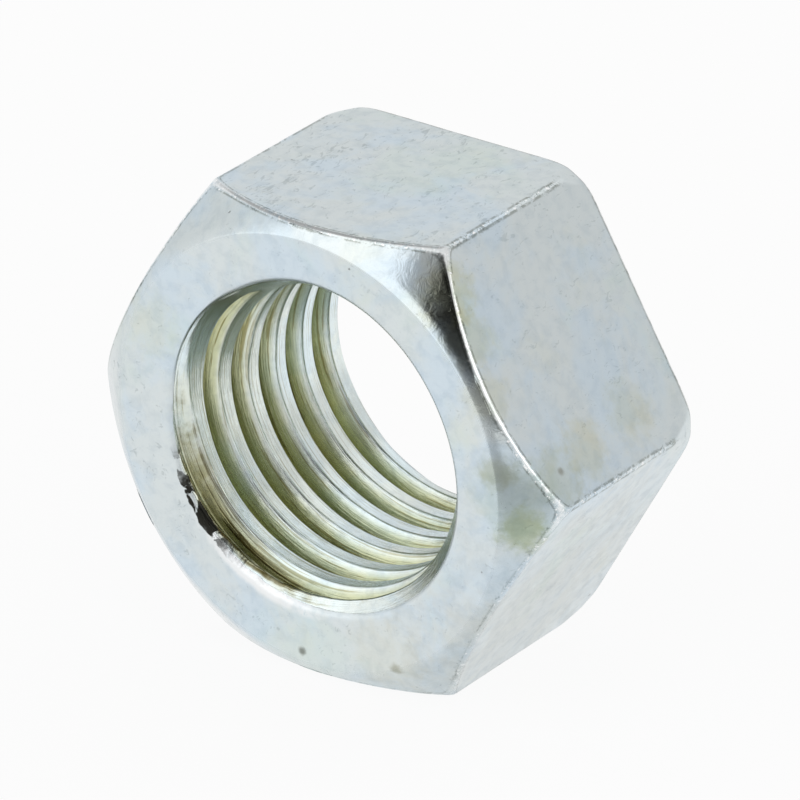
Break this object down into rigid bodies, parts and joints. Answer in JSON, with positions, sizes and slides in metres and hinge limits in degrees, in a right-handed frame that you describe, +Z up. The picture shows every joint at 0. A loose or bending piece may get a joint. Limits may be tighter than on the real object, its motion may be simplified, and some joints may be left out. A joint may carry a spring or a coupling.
{
  "type": "threaded nut",
  "caption": "Zinc-plated hexagon nut with a left-hand internal thread, chamfered on its front face.",
  "frame": {"origin": "centre of the nut, on the thread axis, half way between its two faces", "axes": "+Z up, the nut stands on one flat; +Y along the thread axis towards the bearing face; -Y is the chamfered front; +X towards a corner of the hexagon"},
  "size_m": [0.0162, 0.0078, 0.014],
  "materials": {
    "zinc_plated_steel": "bright zinc plating, semi-gloss, with faint yellow and blue passivation tints, small pits and handling scratches"
  },
  "bodies": {
    "root": {"hex_nut": "zinc_plated_steel"}
  },
  "joints": []
}
